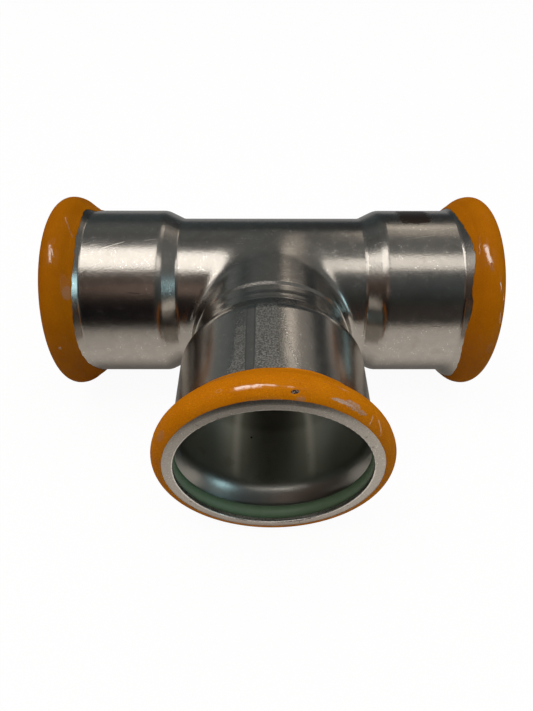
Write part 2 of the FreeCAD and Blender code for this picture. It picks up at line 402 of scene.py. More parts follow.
def make_room():
    world = bpy.data.worlds.new("room")
    world.use_nodes = True
    bpy.context.scene.world = world
    direction = Shade(world.node_tree).node("ShaderNodeTexCoord")
    x, y, z = direction.parts()
    turn_up = abs(z).math("ARCTAN2", -y) / math.pi
    colour = x.smooth(-0.2, 0.2).mix(room_light(turn_up, ROOM_LEFT), room_light(turn_up, ROOM_RIGHT))
    for towards, inner, outer, tint, strength in PATCHES:
        unit = tuple(Vector(towards).normalized())
        near = direction.vector("DOT_PRODUCT", unit, output=1)
        mask = near.smooth(math.cos(math.radians(outer)), math.cos(math.radians(inner)))
        colour = mask.mix(colour, tuple(strength * part for part in tint))
    camera_ray = direction.node("ShaderNodeLightPath")
    colour = camera_ray.mix(colour, (1.0, 1.0, 1.0))
    direction.feed(world.node_tree.nodes["Background"].inputs[0], colour)
    return world


print("room:", make_room().name, "with", len(PATCHES), "patches of light")

# %% [markdown]
# ## The lamps
#
# Two soft boxes hang over the tee. The left one is larger and brighter and gives the broad pale
# band along the left of the run. The right one is narrower and dimmer. Both are slightly warm.
# Blender's area lamps show in steel as plain bright rectangles, as such boxes do. A third, large
# lamp fills in soft light on everything dull; it doesn't show in mirrors.

# %% Lamps
LAMP_HEIGHT = 1200.0
LAMPS = (
    # name, x range, y range at the lamp's height, radiance, colour, shows in steel
    ("soft_box_left", (-900, 40), (-462, 228), 2.60, (1.0, 0.965, 0.91), True),
    ("soft_box_right", (120, 640), (-455, -25), 1.80, (1.0, 0.94, 0.87), True),
    ("fill", (-900, 900), (-900, 900), 0.60, (1.0, 0.97, 0.93), False),
)


def make_lamp(name, across, along, radiance, colour, shows):
    width, depth = (across[1] - across[0]) * MM, (along[1] - along[0]) * MM
    data = bpy.data.lights.new(name, "AREA")
    data.shape = "RECTANGLE"
    data.size, data.size_y = width, depth
    data.energy = radiance * math.pi * width * depth
    data.color = colour
    lamp = bpy.data.objects.new(name, data)
    lamp.location = Vector((sum(across) / 2, sum(along) / 2, LAMP_HEIGHT)) * MM
    lamp.visible_camera = False
    lamp.visible_glossy = shows
    bpy.context.collection.objects.link(lamp)
    return lamp


for values in LAMPS:
    lamp = make_lamp(*values)
    print(lamp.name, "watts:", round(lamp.data.energy, 2))

# %% [markdown]
# ## Marks on a surface
#
# Wear and forming marks sit at a place on a leg, so they are said in t and angle. A spot is a soft
# oval. A stroke is a thin line from one place to another, as a scratch or a crease leaves it. Both
# give a pattern that is 1 on the mark and 0 off it. An arc of one degree is half a millimetre on
# the socket, which turns angles into lengths.

# %% Spots and strokes
ARC = 0.5


def spot(t, angle, at, reach, soft=0.4):
    """A soft oval at (t, angle) that reaches so far in each direction."""
    far = ((t - at[0]) / reach[0]) ** 2 + ((angle - at[1]) / reach[1]) ** 2
    return far.smooth(1 - soft, 1 + soft, 1.0, 0.0)


def stroke(t, angle, start, end, width):
    """A line between two places (t, angle) that fades over its width in millimetres."""
    step = np.array([end[0] - start[0], (end[1] - start[1]) * ARC])
    length = float(np.hypot(*step))
    ahead, aside = (float(v) for v in step / length)
    over, round_it = t - start[0], (angle - start[1]) * ARC
    along = over * ahead + round_it * aside
    across = abs(round_it * ahead - over * aside)
    ends = abs(along - length / 2).smooth(length / 2 - width, length / 2, 1.0, 0.0)
    return across.smooth(0.0, width, 1.0, 0.0) * ends


def total(patterns):
    """The sum of some patterns."""
    patterns = list(patterns)
    result = patterns[0]
    for pattern in patterns[1:]:
        result = result + pattern
    return result


print("marks ready: spot, stroke")

# %% [markdown]
# ## Even shading for formed steel
#
# A mirror shows every facet of a mesh, though the real sheet is smooth. The body could be meshed
# again with more faces, but then it would no longer be the packed solid. Its true form is known:
# each leg is turned about its axis. So the shader takes the normal across the axis from the place
# itself, and from the mesh only how far it leans along the axis. Where run and branch meet, one
# leg's normal passes into the other's. Both surfaces are nearly level there at the top, so the
# passage is wide at the top and narrow at the sides, as pulled steel is. The shape isn't touched.

# %% Even normals
PASSAGE = 3.5
RUN_LEANS_FROM, BRANCH_LEANS_FROM = (29.6, 30.4), (24.5, 26.0)
RAMP_TOP, RAMP_FOOT, RAMP_LEAN = 8.6, 15.8, math.sin(math.radians(38.0))
SHOULDER_EASED = 0.8
AXES = ((1, 0, 0), (0, -1, 0))
ACROSS = ((0, 1, 1), (1, 0, 1))


def eased_in_branch(lean, inside, t):
    """Evens how the branch's inner wall leans: at the shoulder, and on the ramp behind the ring."""
    lean = lean * (1 - inside * t.smooth(32.0, 34.5) * SHOULDER_EASED)
    on_ramp = inside * t.smooth(7.4, 7.9) * t.smooth(RAMP_FOOT, RAMP_FOOT + 0.2, 1.0, 0.0)
    return lean * (1 - on_ramp) + t.smooth(RAMP_TOP, RAMP_FOOT, RAMP_LEAN, 0.0) * on_ramp


def even_normal(place, true):
    """The even normal, which side of the wall it is on, and how far it is the branch's."""
    x, y, z = (part / MM for part in place.parts())
    off_run = (y * y + z * z) ** 0.5 - BODY_RADIUS
    off_branch = (x * x + z * z) ** 0.5 - BODY_RADIUS + y.math("MAXIMUM", 0.0) * 2
    share = (off_run - off_branch).smooth(-PASSAGE, PASSAGE)
    zones = abs(x).smooth(*RUN_LEANS_FROM), (-y).smooth(*BRANCH_LEANS_FROM)
    radials = [place.vector("MULTIPLY", across).vector("NORMALIZE") for across in ACROSS]
    leans = [true.vector("DOT_PRODUCT", axis, output=1) * zone for axis, zone in zip(AXES, zones)]
    faces = [true.vector("DOT_PRODUCT", radial, output=1) for radial in radials]
    side = share * faces[1] + (1 - share) * faces[0]
    inside = side.smooth(-0.12, 0.0, 1.0, 0.0)
    leans[1] = eased_in_branch(leans[1], inside, BRANCH.length + y)
    normals = []
    for axis, radial, lean in zip(AXES, radials, leans):
        level = (1 - lean * lean).math("MAXIMUM", 0.0) ** 0.5 * side.math("SIGN")
        normals.append(radial.vector("MULTIPLY", level).vector("ADD", lean.vector("MULTIPLY", axis)))
    apart = normals[1].vector("SUBTRACT", normals[0]).vector("MULTIPLY", share)
    return normals[0].vector("ADD", apart).vector("NORMALIZE"), inside, share


print("even normals for", len(AXES), "axes")

# %% [markdown]
# ## What the marks on the steel share
#
# Every mark on the body is said in a leg's own numbers, and many use the same noises. One object
# makes these patterns once. After that each mark is a short formula over them.

# %% Places and noises of the body
class BodyPatterns:
    """A point's place on each leg, its side of the wall, and the noises of the surface."""

    def __init__(self, place):
        self.place = place
        self.x, self.y, _ = (part / MM for part in place.parts())
        true = place.node("ShaderNodeNewGeometry", output=1)
        self.normal, self.inside, self.share = even_normal(place, true)
        self.outside = 1 - self.inside
        self.on = {
            "left": (-self.x).smooth(30.0, 31.0),
            "right": self.x.smooth(30.0, 31.0),
            "branch": (-self.y).smooth(25.0, 26.0),
        }
        self.at = {leg.name: leg.patterns(place) for leg in LEGS}
        self.cloud = place.noise(9.0, detail=3.0)
        self.blotch = place.noise(3.2, detail=3.0, roughness=0.6, seed=0.31)
        self.fine = place.noise(1.6, detail=2.0, seed=0.17)
        self.grain = place.noise(0.55, detail=2.0, roughness=0.65)
        self.grit = place.noise(0.46, detail=1.5, roughness=0.5, seed=0.71)


print("steel patterns:", ", ".join(leg.name for leg in LEGS))

# %% [markdown]
# ## Creases and scratches
#
# Forming has left a crisp crease round the neck of each leg, and on the branch a hollow beside it
# that fades down the sides. The scratches came later, in transport. All of them are far finer
# than the mesh, so they are heights for a bump. The lip's corner is broken in the same way: its
# height falls towards the outside.

# %% Relief on the legs
CREASE_AT = {"left": 42.95, "right": 42.85, "branch": 43.85}
SCRATCH_DEPTH = 0.35
LIP_MIDDLE, LIP_FALL = 27.5, 5.0
SCRATCHES = {
    # first place (t, angle), last place, width
    "left": (
        ((19.0, 22.0), (26.0, 17.0), 0.25), ((28.0, 51.5), (31.5, 52.0), 0.3),
        ((15.0, 14.0), (16.2, 8.0), 0.35), ((24.0, 88.0), (24.6, 92.0), 0.35),
        ((32.0, 16.0), (36.0, 15.0), 0.25), ((20.0, 64.0), (21.5, 64.4), 0.3)),
    "right": (
        ((11.4, 52.0), (12.2, 57.0), 0.4), ((20.0, 12.0), (28.0, 15.0), 0.2),
        ((33.0, 45.0), (36.0, 52.0), 0.25), ((14.0, 60.0), (16.5, 66.0), 0.25),
        ((18.0, 75.0), (22.0, 74.0), 0.25)),
    "branch": (
        ((24.6, -32.6), (21.3, -28.3), 0.3), ((31.0, 18.0), (28.0, 21.0), 0.2),
        ((35.5, 13.6), (35.0, 15.5), 0.35)),
}


def crease(leg, t, angle, fine):
    """Height of the crease at a leg's neck, with the branch's hollows."""
    wavy, at = t + (fine - 0.5) * 0.4, CREASE_AT[leg.name]
    height = wavy.bell(at, 0.45) * 0.7
    if leg is not BRANCH:
        return height
    height = height - wavy.bell(at - 0.85, 0.6) * 0.9 - wavy.bell(at + 1.2, 0.9) * 0.6
    hollow = wavy.smooth(49.0, 51.4, 1.0, 0.0) * wavy.smooth(44.9, 47.6)
    return (height - hollow * 3.4) * abs(angle).smooth(42.0, 66.0, 1.0, 0.25)


def leg_relief(body, leg):
    """Heights of the crease, the scratches and the broken corner of the lip on one leg."""
    (t, r, angle), here = body.at[leg.name], body.on[leg.name]
    scratched = total(stroke(t, angle, *line) for line in SCRATCHES[leg.name]) * SCRATCH_DEPTH
    marks = (crease(leg, t, angle, body.fine) + scratched) * r.smooth(25.0, 25.6) * body.outside
    on_lip = t.smooth(0.5, 0.8, 1.0, 0.0)
    return here * (marks - on_lip * (r - LIP_MIDDLE) * LIP_FALL)


print("scratches:", {name: len(lines) for name, lines in SCRATCHES.items()})

# %% [markdown]
# ## The strip and the speckles on the branch
#
# The branch has a smooth strip along its top, with a groove at each side, painted dark as painted
# shade. Beside the strip its surface is speckled: small crests stand next to small pits, with
# painted highlights on the crests and painted shade in the pits. Two blocks and a slanting streak
# of it are painted with masks, and one noise cut at a high and at a low level gives crests and
# pits. Three rows of painted glints run down the right block.

# %% Branch top
STRIP_MIDDLE, STRIP_HALF = -12.4, 2.2
# rows of painted glints
SPARKLE_ROWS = (
    ((34.0, 4.6), (29.0, 6.2), 1.3), ((29.5, 5.8), (23.0, 7.4), 1.1), ((23.5, 7.2), (13.0, 13.0), 1.1))


def speckled(t, angle):
    """Where the branch is speckled, from 0 to 1."""
    right = angle.smooth(-9.9, -9.4) * angle.smooth(0.5, 5.0, 1.0, 0.0) * t.smooth(37.6, 38.4, 1.0, 0.0)
    left = angle.smooth(-25.0, -19.0) * angle.smooth(-15.3, -14.8, 1.0, 0.0)
    left = left * t.smooth(24.0, 37.0, 0.95, 0.35)
    slanting = angle.smooth(-28.0, -20.0) * angle.smooth(2.0, 12.0, 1.0, 0.0) * t.smooth(14.0, 17.5, 0.8, 0.0)
    return (right + left + slanting).math("MINIMUM", 1.0)


def branch_top(body):
    """The patterns on the outside of the branch's socket."""
    t, _, angle = body.at["branch"]
    socket = (-body.y).smooth(34.2, 35.0) * t.smooth(9.0, 10.0) * body.outside
    below_neck = t.smooth(38.0, 39.5, 1.0, 0.0) * socket
    aside = abs(angle - STRIP_MIDDLE)
    strip = aside.smooth(STRIP_HALF, STRIP_HALF + 0.4, 1.0, 0.0) * below_neck
    field = speckled(t, angle) * socket * (1 - strip)
    rows = total(stroke(t, angle, *line) for line in SPARKLE_ROWS).math("MINIMUM", 1.0)
    return SimpleNamespace(
        socket=socket,
        strip=strip,
        grooves=abs(aside - STRIP_HALF).smooth(0.05, 0.42, 1.0, 0.0) * below_neck,
        field=field,
        highlit_crests=(body.grit + field * 0.08).smooth(0.60, 0.68) * field,
        shaded_pits=(body.grit - field * 0.08).smooth(0.33, 0.41, 1.0, 0.0) * field,
        sparkle_grains=body.place.noise(0.5, detail=1.0, seed=0.37).smooth(0.53, 0.62) * rows * socket,
        line=(t + (body.fine - 0.5) * 0.6).bell(38.1, 0.6) * socket * angle.smooth(-12.0, -8.0),
    )


print("strip's width in mm:", round(2 * STRIP_HALF * ARC, 1))

# %% [markdown]
# ## Mouths, bores and ink
#
# The mouths were trimmed, so their lips are cut steel without plating: duller, with a painted
# highlight along the inner edge, and nicks painted dark as painted shade in the notches. Inside,
# the bores are painted paler as painted light for the dim inside, a little less at the deep end,
# and two soft streaks of painted highlight run down the branch's. On the right socket lies a small
# field of blurred brown ink. Each of these is a mask that is 1 on its place, for the finish to paint.

# %% Masks of the body
LIP_NICKS = (
    # angle, half-width in degrees, first and last radius
    (-28.9, 0.55, 27.3, 28.0), (-41.0, 0.45, 28.2, 28.9), (-30.2, 0.3, 27.3, 27.7), (54.0, 0.35, 28.0, 28.6),
    (64.0, 0.4, 27.6, 28.3), (128.0, 0.4, 27.6, 28.4), (-122.0, 0.5, 27.4, 28.2), (163.0, 0.4, 27.5, 28.6))
BORE_DOT = (31.0, -165.3)
INK_PLACE, INK_REACH, INK_COVER = (25.2, -12.5), (5.6, 13.0), 0.90


def wall_zones(body, leg):
    """One leg's cut mouth, bore, deep end of the bore, ramp behind the ring, and shoulder."""
    (t, _, _), here = body.at[leg.name], body.on[leg.name]
    within = here * body.inside
    lip = here * t.smooth(0.5, 0.8, 1.0, 0.0)
    return (
        lip.math("MAXIMUM", within * t.smooth(1.5, 1.9, 1.0, 0.0)),
        within * t.smooth(3.0, 4.0),
        within * t.smooth(32.5, 36.0),
        within * t.smooth(11.0, 15.0, 1.0, 0.0),
        here * t.smooth(34.5, 36.0) * t.smooth(42.5, 43.5, 1.0, 0.0) * body.outside,
    )


def lip_marks(body):
    """A painted highlight along the inner edge of the branch's lip, and the nicks across it, which get
    painted shade.
    """
    t, r, angle = body.at["branch"]
    ragged = body.fine - 0.5
    edge = (r + ragged * 0.3).smooth(27.40, 27.62, 1.0, 0.0) * r.smooth(27.0, 27.2)
    edge = edge * t.smooth(1.5, 1.9, 1.0, 0.0) * body.grit.smooth(0.30, 0.55, 0.35, 1.0)
    nicks = total((angle + ragged * 1.5).bell(at, wide) * r.smooth(low, low + 0.2)
                  * r.smooth(high, high + 0.3, 1.0, 0.0) for at, wide, low, high in LIP_NICKS)
    return edge, nicks * t.smooth(0.9, 1.3, 1.0, 0.0)


def bore_marks(body):
    """Two streaks of painted highlight down the branch's bore, and a dark dot."""
    t, _, angle = body.at["branch"]
    in_bore = body.inside * (-body.y).smooth(30.0, 31.0)
    streaks = (angle.bell(-154.5, 5.0) + angle.bell(151.5, 5.0) * 0.9) * t.smooth(12.0, 18.0)
    return streaks * in_bore, spot(t, angle, BORE_DOT, (0.4, 0.7)) * in_bore


def ink_field(body):
    """A blurred patch of ink with a ragged rim."""
    t, _, angle = body.at["right"]
    far = ((t - INK_PLACE[0]) / INK_REACH[0]) ** 4 + ((angle - INK_PLACE[1]) / INK_REACH[1]) ** 4
    ragged = (body.blotch - 0.5) * 2.2 + (body.fine - 0.5) * 1.4
    return (far + ragged).smooth(0.45, 1.25, INK_COVER, 0.0) * body.on["right"] * body.outside


print("nicks on the lip:", len(LIP_NICKS))

# %% [markdown]
# ## Zinc-plated steel
#
# The plating is cool grey and satin rather than mirror bright: it blurs what it mirrors. The
# finish is painted in layers, as a maker sees them: first the even plating, then each mark on top
# of it with its colour; some of these layers are painted highlights and painted shade. The same
# masks raise or lower the surface and make it duller, so colour, relief and gloss of a mark always
# lie in one place.

# %% Steel
STEEL_COLOUR = (0.362, 0.345, 0.320)
STEEL_ROUGHNESS = 0.205
RELIEF_DEPTH = 0.045


def steel_material():
    material, shader, place = new_material("zinc_plated_steel", metallic=1.0)
    body = BodyPatterns(place)
    blotch, fine, grain, grit = body.blotch, body.fine, body.grain, body.grit
    drawn = place.vector("MULTIPLY", (0.08, 1.0, 1.0)).noise(0.9, detail=2.0, seed=0.53)
    hair = abs(drawn - 0.5).smooth(0.0, 0.006, 1.0, 0.0) * blotch.smooth(0.52, 0.62)
    zones = zip(*(wall_zones(body, leg) for leg in LEGS))
    cut, bore, deep, ramp, shoulder = (total(masks) for masks in zones)
    top, ink = branch_top(body), ink_field(body)
    (edge, nicks), (streaks, dot) = lip_marks(body), bore_marks(body)
    specks = place.noise(0.32, detail=0.0, seed=0.83).smooth(0.745, 0.78)
    stain = place.noise(5.0, detail=3.0, seed=0.91).smooth(0.60, 0.72)

    layers = (
        # how much of the surface the layer covers, and its colour
        (blotch.smooth(0.35, 0.65) * 0.10, (0.62, 0.60, 0.56)),
        # the grooves and, faintly, the strip: painted shade
        ((top.grooves * 0.42 + top.strip * 0.03).math("MINIMUM", 1.0), (0.06, 0.07, 0.07)),
        # the pits: painted shade
        (top.shaded_pits * 0.55, (0.08, 0.085, 0.085)),
        # the crests and the rows of glints: painted highlights
        ((top.highlit_crests * 0.7 + top.sparkle_grains * 0.8).math("MINIMUM", 1.0), (0.72, 0.70, 0.66)),
        (top.socket * 0.14, (0.60, 0.585, 0.555)),
        # the bores: painted light, a little less of it at the deep end
        (bore * 0.92, deep.mix((0.58, 0.60, 0.555), (0.44, 0.45, 0.41))),
        # the streaks down the branch's bore: painted highlights
        (streaks * 0.7, (1.0, 0.98, 0.94)),
        # the ramp behind the ring: darker, painted shade in the bead's hollow
        (ramp * 0.9, (0.30, 0.295, 0.28)),
        (dot * 0.9, (0.01, 0.01, 0.01)),
        (cut * 0.9, grit.smooth(0.35, 0.65).mix((0.40, 0.378, 0.345), (0.50, 0.475, 0.44))),
        # the lip's inner edge: a painted highlight
        (edge * 0.8, (0.86, 0.84, 0.81)),
        # the nicks: painted shade in the notches
        (nicks * 0.75, (0.05, 0.05, 0.045)),
        # pale specks: dust, painted bright enough to stand for tiny highlights
        (specks * blotch.smooth(0.48, 0.60) * body.outside, (0.80, 0.78, 0.74)),
        (stain * 0.18, (0.25, 0.20, 0.165)),
        (ink, (0.050, 0.024, 0.016)),
    )
    plating = body.cloud.mix(*(tuple(light * part for part in STEEL_COLOUR) for light in (0.94, 1.06)))

    height = grain * 0.50 + fine * 0.26 - hair * 0.10 + total(leg_relief(body, leg) for leg in LEGS)
    height = height + (top.highlit_crests - top.shaded_pits) * 0.55 + (top.sparkle_grains - top.grooves - top.line) * 0.6
    height = height + cut * grit * 0.6 - nicks * 2.0

    meeting = (body.share - body.share * body.share) * 4.0 * abs(body.x).smooth(29.0, 30.0, 1.0, 0.0)
    rough = (body.cloud - 0.5) * 0.06 + (blotch - 0.5) * 0.05 + (grain - 0.5) * 0.06 + STEEL_ROUGHNESS
    rough = rough + top.field * 0.10 + cut * 0.18 + ink * 0.2 + hair * 0.05 + bore * 0.16 - ramp * 0.06
    rough = rough + meeting * 0.05 + shoulder * 0.01
    relief = bump(place, height, RELIEF_DEPTH, body.normal)
    finish_with(shader, place, Base_Color=layered(plating, layers), Roughness=rough, Normal=relief)
    return material


steel_body = nodes["tee_body"].data
steel_body.materials.clear()
steel_body.materials.append(steel_material())
print("steel nodes:", len(steel_body.materials[0].node_tree.nodes))

# %% [markdown]
# ## Seal rings of green rubber
#
# The rings are smooth moulded rubber, a dull green. Their faint sheen comes from a thin coat of
# silicone grease, so they are only slightly rough. A slow noise between two greens is all that
# such a plain finish needs.

# %% Rubber
def rubber_material():
    material, shader, place = new_material("green_rubber", roughness=0.46)
    tone = place.noise(3.0).mix((0.126, 0.200, 0.120), (0.160, 0.250, 0.152))
    finish_with(shader, place, Base_Color=tone, Normal=bump(place, place.noise(0.5), 0.01))
    return material


rubber = rubber_material()
print("rubber nodes:", len(rubber.node_tree.nodes))

# %% [markdown]
# ## The bead's outside as one path
#
# The film lies on the bead's outside, so it needs the bead's outline: a round nose behind the
# mouth's face, a flatter crown, a straight flank and a small foot on the socket. Arcs with the
# bead's real radii give it, together with the direction straight out from the steel. Distance
# along the path then says where a film begins and ends, as a tape laid over the bead would.

# %% The bead's outline
NOSE_CENTRE, NOSE_RADIUS = (4.0, 29.35), 4.0
CROWN_CENTRE, CROWN_RADIUS = (4.0, 27.05), 6.3
FLANK_SLOPE = 38.0
FOOT_CENTRE, FOOT_RADIUS = (12.574, 30.25), 1.5


def arc(centre, radius, start, end, count, inward=False):
    """Points of an arc with their outward normals, for angles in degrees."""
    angle = np.radians(np.linspace(start, end, count))
    normal = np.stack([np.cos(angle), np.sin(angle)], 1)
    points = np.array(centre) + radius * normal
    return points, -normal if inward else normal


def bead_outline():
    """Distance along the bead, points (t, r) and normals, from the mouth's face to the socket."""
    normal = 90 - FLANK_SLOPE
    socket_end = np.array([(INSERTION_DEPTH, SOCKET_RADIUS)]), np.array([(0.0, 1.0)])
    parts = (
        arc(NOSE_CENTRE, NOSE_RADIUS, 180, 90, 60),
        arc(CROWN_CENTRE, CROWN_RADIUS, 90, normal, 40),
        arc(FOOT_CENTRE, FOOT_RADIUS, normal + 180, 270, 20, inward=True),
        socket_end,
    )
    points, normals = (np.concatenate(values) for values in zip(*parts))
    steps = np.linalg.norm(np.diff(points, axis=0), axis=1)
    along = np.concatenate([[0], np.cumsum(steps)])
    keep = np.concatenate([[True], steps > 1e-6])
    return along[keep], points[keep], normals[keep]


ALONG, OUTLINE, OUTLINE_NORMALS = bead_outline()
print("bead's outline in mm:", round(float(ALONG[-1]), 1))

# %% [markdown]
# ## Lines that aren't quite straight
#
# The film was shrunk on, so it follows the bead but not perfectly: its edges wander and its
# wrinkles bend. Drawing each by hand would take thousands of points. Instead a few given places
# fix a smooth closed curve, waves of random size make it uneven, and a ridge runs from one place
# to another. The random numbers start from a fixed seed, so each run gives the same film. An arc
# of one degree on the film is FILM_ARC millimetres.

# %% Wandering lines
FILM_ARC = 0.57
SEED = 54
rng = np.random.default_rng(SEED)


def around(places, degrees):
    """A smooth closed curve through (angle, value) pairs."""
    angle = np.array([p[0] for p in places], float)
    value = np.array([p[1] for p in places], float)
    fine = np.arange(0, 360, 1.0)
    order = np.argsort(angle % 360)
    coarse = np.interp(fine, (angle % 360)[order], value[order], period=360)
    kernel = np.exp(-0.5 * (np.arange(-15, 16) / 4.0) ** 2)
    rolled = np.concatenate([coarse[-15:], coarse, coarse[:15]])
    soft = np.convolve(rolled, kernel / kernel.sum(), "valid")
    return np.interp(degrees, fine, soft, period=360)


def wander(degrees, size, orders):
    """A closed curve that wanders about zero by about this size, from waves of random phase."""
    angle = np.radians(degrees)
    waves = [np.sin(k * angle + rng.uniform(0, 2 * np.pi)) * rng.uniform(0.4, 1.0) for k in orders]
    return size * sum(waves) / math.sqrt(len(waves))


def turn_between(angle, other):
    """The difference of two angles, from -180 to 180 degrees."""
    return (angle - other + 180.0) % 360.0 - 180.0


def soft_step(value, low, high):
    share = np.clip((value - low) / (high - low), 0, 1)
    return share * share * (3 - 2 * share)


def ridge(t, angle, start, end, width, height):
    """A wrinkle from one place (t, angle) to another."""
    step = np.array([end[0] - start[0], (end[1] - start[1]) * FILM_ARC])
    length = np.hypot(*step)
    ahead, aside = step / length
    over, round_it = t - start[0], turn_between(angle, start[1]) * FILM_ARC
    along = over * ahead + round_it * aside
    bend = 0.12 * np.sin(along * 2.1 + start[1])
    across = round_it * ahead - over * aside + bend
    ends = soft_step(along, -0.4, 0.5) * soft_step(length - along, -0.4, 0.5)
    return height * np.exp(-((across / width) ** 2)) * ends


print("seed of the film's random numbers:", SEED)

# %% [markdown]
# ## The film's relief
#
# A fold runs round the film near its back edge, short wrinkles cross it, and on the branch it has
# a small bubble, a chip down to the steel and a scuffed patch. All of these are real bumps and
# hollows of a few hundredths of a millimetre, so they catch the light from every side. Sculpting
# them would work too, but a formula for each keeps its size and place in plain numbers.

# %% Folds and wrinkles
FOLD = {
    # angle, t
    "left": ((-40, 10.2), (0, 9.9), (20, 9.4), (60, 9.6), (100, 9.2), (180, 9.8), (250, 9.5)),
    "right": ((-40, 9.5), (0, 8.9), (20, 8.6), (60, 9.3), (100, 9.2), (180, 9.6), (250, 9.3)),
    "branch": ((-32, 5.0), (-25, 5.4), (-18, 7.2), (-2, 7.8), (14, 6.5), (23, 5.5), (34, 5.0), (60, 5.4),
               (120, 6.4), (180, 7.0), (240, 6.2), (300, 5.2)),
}
WRINKLES = {
    # first place (t, angle), last place, width, height
    "left": (
        ((6.6, 4.5), (9.9, 17.5), 0.22, 0.05), ((4.3, 25.5), (4.8, 36.0), 0.35, 0.03),
        ((9.0, 40.0), (9.8, 58.0), 0.3, 0.05), ((8.0, 62.0), (10.0, 70.0), 0.25, 0.04),
        ((5.1, 82.0), (5.4, 85.5), 0.4, 0.06), ((7.5, 95.0), (9.5, 104.0), 0.3, 0.04)),
    "right": (
        ((6.9, 21.0), (5.4, 36.0), 0.32, 0.04), ((3.2, 46.0), (1.2, 56.0), 0.22, 0.05),
        ((7.8, 18.0), (8.4, 30.0), 0.2, 0.04), ((2.4, 60.0), (1.6, 69.0), 0.22, 0.05),
        ((5.0, 52.0), (7.5, 60.0), 0.2, 0.04), ((6.0, 72.0), (8.5, 80.0), 0.25, 0.04),
        ((3.5, 85.0), (6.0, 95.0), 0.25, 0.04)),
    "branch": (
        ((3.2, -19.0), (3.1, -2.0), 0.42, 0.03), ((3.0, -2.0), (2.4, 9.0), 0.22, 0.03),
        ((2.3, 46.5), (0.1, 47.5), 0.16, 0.06), ((2.2, 50.5), (0.3, 58.0), 0.16, 0.05),
        ((1.5, 62.0), (3.4, 70.0), 0.2, 0.05), ((4.4, 8.0), (3.6, 18.0), 0.16, 0.03),
        ((4.9, 2.0), (4.5, 6.0), 0.16, 0.03), ((2.6, -62.0), (1.0, -52.0), 0.2, 0.05),
        ((3.6, -70.0), (1.4, -66.0), 0.2, 0.05)),
}
SMALL_WRINKLES = 14
BUBBLE, CHIP = (3.15, -23.2), (1.55, 8.3)
SCUFF = ((1.55, 25.2), (1.65, 30.0), (2.1, 33.6), (1.5, 36.6), (1.2, 41.5))


def branch_film_relief(t, angle):
    """The bubble's rim and hollow, the chip with its raised border, and the rough scuff."""
    wide = np.hypot((t - BUBBLE[0]) / 0.42, turn_between(angle, BUBBLE[1]) * FILM_ARC / 0.70)
    height = 0.035 * np.exp(-(((wide - 1.0) / 0.35) ** 2)) - 0.02 * np.exp(-((wide / 0.6) ** 2))
    leaning = turn_between(angle, CHIP[1]) * FILM_ARC / 1.15 - (t - CHIP[0]) * 0.7
    wide = np.hypot((t - CHIP[0]) / 0.50, leaning)
    height = height - 0.085 * soft_step(wide, 1.15, 0.8) + 0.03 * np.exp(-(((wide - 1.25) / 0.2) ** 2))
    rough = 0.010 + 0.008 * np.sin(angle * 1.3 + t * 3.0)
    return height + rough * sum(ridge(t, angle, start, end, 0.6, 1.0) for start, end in zip(SCUFF, SCUFF[1:]))


def film_relief(leg, t, angle):
    """Height to add to the film, in millimetres."""
    line = around(FOLD[leg.name], angle[:, 0])[:, None] + wander(angle[:, 0], 0.06, (7, 11, 17, 23))[:, None]
    height = 0.045 * soft_step(t, line - 0.2, line + 0.2) - 0.02 * np.exp(-((t - line + 0.45) / 0.4) ** 2)
    height = height + 0.010 * (wander(angle[:, 0], 1.0, (5, 9, 14))[:, None] * np.sin(t * 0.9))
    for start, end, width, rise in WRINKLES[leg.name]:
        height = height + ridge(t, angle, start, end, width, rise)
    for _ in range(SMALL_WRINKLES):
        at, turned = rng.uniform(2.0, 10.0), rng.uniform(110.0, 300.0)
        end = (at + rng.uniform(-2.0, 2.0), turned + rng.uniform(4.0, 12.0))
        height = height + ridge(t, angle, (at, turned), end, 0.22, rng.uniform(0.02, 0.05))
    return height + branch_film_relief(t, angle) if leg is BRANCH else height


print("wrinkles:", {name: len(lines) for name, lines in WRINKLES.items()})

# %% [markdown]
# ## A film as a closed thin skin
#
# Each film is a ring-shaped skin. Its outer side follows the bead's outline plus the relief, and
# its inner side lies just on the steel, with fewer rows, because nobody sees it. Both edges are
# rounded. A Solidify modifier would give such a skin too, but not with edges of this form. The
# film stays inside the width and length that the packed model gives it.

# %% Film mesh
FILM_THICKNESS = 0.12
FILM_LIFT = 0.02
EDGE_ROUNDING = 0.30
WIDEST, FOREMOST = 33.545, -0.14


def film_mesh(leg, front, back, turns=900, rows=70, inner_rows=6):
    """The skin from a front edge, as a distance along the bead, to a back edge, as t."""
    degrees = np.arange(turns) * 360.0 / turns
    start, end = front(degrees), np.interp(back(degrees), OUTLINE[:, 0], ALONG)

    def section(count, lift, relief):
        share = np.linspace(0, 1, count)
        # rows lie closer together towards both edges, where the skin is rounded
        share = 0.55 * share + 0.45 * (0.5 - 0.5 * np.cos(np.pi * share))
        s = start[:, None] + (end - start)[:, None] * share[None, :]
        t, r = (np.interp(s, ALONG, OUTLINE[:, k]) for k in (0, 1))
        nt, nr = (np.interp(s, ALONG, OUTLINE_NORMALS[:, k]) for k in (0, 1))
        to_edge = np.minimum(s - start[:, None], end[:, None] - s)
        edge = np.sqrt(1 - (1 - np.clip(to_edge / EDGE_ROUNDING, 0, 1)) ** 2)
        angle = np.repeat(degrees[:, None], count, 1)
        extra = relief(t, angle) if relief else 0.0
        height = lift + edge * (FILM_THICKNESS + extra) if relief else lift
        t, r = np.maximum(t + nt * height, FOREMOST), np.minimum(r + nr * height, WIDEST)
        return leg.place(t, r, angle)

    outer = section(rows, FILM_LIFT, lambda t, angle: film_relief(leg, t, angle))
    inner = section(inner_rows, FILM_LIFT * 0.5, None)[:, ::-1]
    return ring_to_object("film_" + leg.name, np.concatenate([outer, inner], 1), leg)


